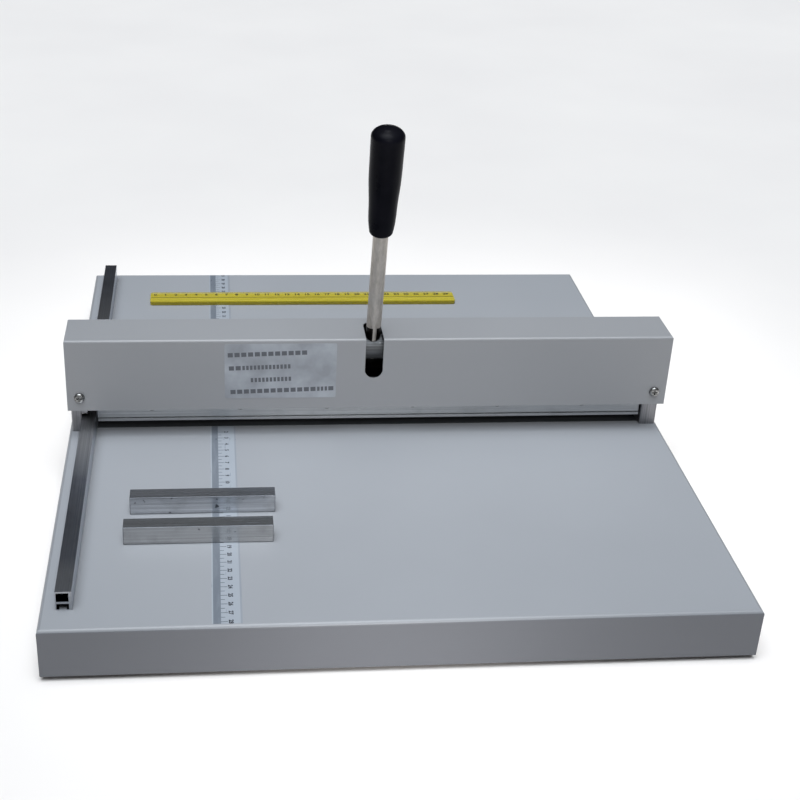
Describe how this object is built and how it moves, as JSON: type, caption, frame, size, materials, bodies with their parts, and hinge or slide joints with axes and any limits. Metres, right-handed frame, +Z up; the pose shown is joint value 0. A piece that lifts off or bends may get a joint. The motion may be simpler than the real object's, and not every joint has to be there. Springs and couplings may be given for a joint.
{
  "type": "manual paper creasing machine",
  "caption": "Table-top manual creasing machine: a flat sheet-metal bed, a covered beam across it with a central press lever, a grooved die flush in the bed, a side rail and loose stops.",
  "frame": {"origin": "under the middle of the bed, on the surface the rubber feet stand on", "axes": "+X to the operator's right along the beam, +Y from the front edge to the rear edge of the bed, +Z up"},
  "size_m": [0.495, 0.6, 0.3097],
  "materials": {
    "bed_paint": "light grey powder coat, semi-gloss",
    "cover_paint": "light grey powder coat, semi-gloss",
    "frame_steel": "ground steel",
    "dark_steel": "black oxide, slightly oiled",
    "ram_steel": "ground steel, slightly oiled",
    "hard_steel": "hardened and polished steel",
    "die_black": "blackened steel, satin",
    "bronze": "sintered bronze",
    "chrome_rod": "satin chrome",
    "grip_plastic": "black moulded plastic, semi-gloss",
    "zinc": "zinc-plated steel",
    "spring_steel": "spring wire",
    "rail_aluminium": "mill-finish extrusion",
    "block_aluminium": "brushed, handled",
    "magnet_nickel": "nickel-plated magnet",
    "rubber": "black rubber",
    "scale_film": "printed plastic film",
    "label_film": "silver-grey adhesive film",
    "yellow_plastic": "translucent yellow plastic"
  },
  "bodies": {
    "root": {"bed_pan": "bed_paint", "bed_ribs": "bed_paint", "top_cover": "cover_paint", "post_left": "frame_steel", "post_right": "frame_steel", "sole_beam": "frame_steel", "guide_keys": "frame_steel", "spring_brackets": "frame_steel", "crossbeam": "dark_steel", "bearing_block_left": "dark_steel", "bearing_block_right": "dark_steel", "die_bar": "die_black", "bush_left": "bronze", "bush_right": "bronze", "foot_screws": "zinc", "foot_nuts": "zinc", "die_screws": "zinc", "post_screws": "zinc", "beam_screws": "zinc", "bearing_screws": "zinc", "key_screws": "zinc", "bracket_screws": "zinc", "cover_screws": "zinc", "rail_bolts": "zinc", "rail_nuts": "zinc", "return_springs": "spring_steel", "side_rail": "rail_aluminium", "rubber_feet": "rubber", "scale_tape_front": "scale_film", "scale_tape_rear": "scale_film", "label_plate": "label_film"},
    "lever": {"cam_shaft": "dark_steel", "cam_left": "hard_steel", "cam_right": "hard_steel", "cam_pins": "hard_steel", "shaft_collars": "hard_steel", "collar_screws": "zinc", "lever_rod": "chrome_rod", "hub_set_screw": "zinc", "lever_grip": "grip_plastic"},
    "ram": {"ram_bar": "ram_steel", "blade_plate": "ram_steel", "plate_screws": "zinc", "creasing_blade": "hard_steel", "blade_screws": "zinc", "follower_blocks": "ram_steel", "wear_plates": "hard_steel", "follower_screws": "zinc", "lift_bolts": "zinc", "lift_washers": "zinc", "lift_nuts": "zinc"},
    "stop_block_a": {"stop_block_a": "block_aluminium", "block_a_magnets": "magnet_nickel"},
    "stop_block_b": {"stop_block_b": "block_aluminium", "block_b_magnets": "magnet_nickel"},
    "back_rule": {"back_rule": "yellow_plastic"}
  },
  "joints": [
    {"name": "lever_swing", "type": "hinge", "parent": "root", "child": "lever", "pos_m": [0, -0.023, 0.1135], "axis": [1, 0, 0], "range_deg": [0, 80]},
    {"name": "ram_slide", "type": "slide", "parent": "root", "child": "ram", "axis": [0, 0, -1], "range_m": [0, 0.006], "stiffness_N_per_m": 7000, "springref_m": -0.009, "deforming": ["return_springs"]},
    {"name": "stop_block_a_slide", "type": "slide", "parent": "root", "child": "stop_block_a", "axis": [0, 1, 0], "range_m": [-0.02, 0.1]},
    {"name": "stop_block_b_slide", "type": "slide", "parent": "root", "child": "stop_block_b", "axis": [0, 1, 0], "range_m": [-0.095, 0.005]},
    {"name": "back_rule_slide", "type": "slide", "parent": "root", "child": "back_rule", "axis": [0, 1, 0], "range_m": [-0.19, 0.03]}
  ],
  "couplings": [
    {"joint": "ram_slide", "follows": "lever_swing", "m_per_rad": 0.004297}
  ]
}
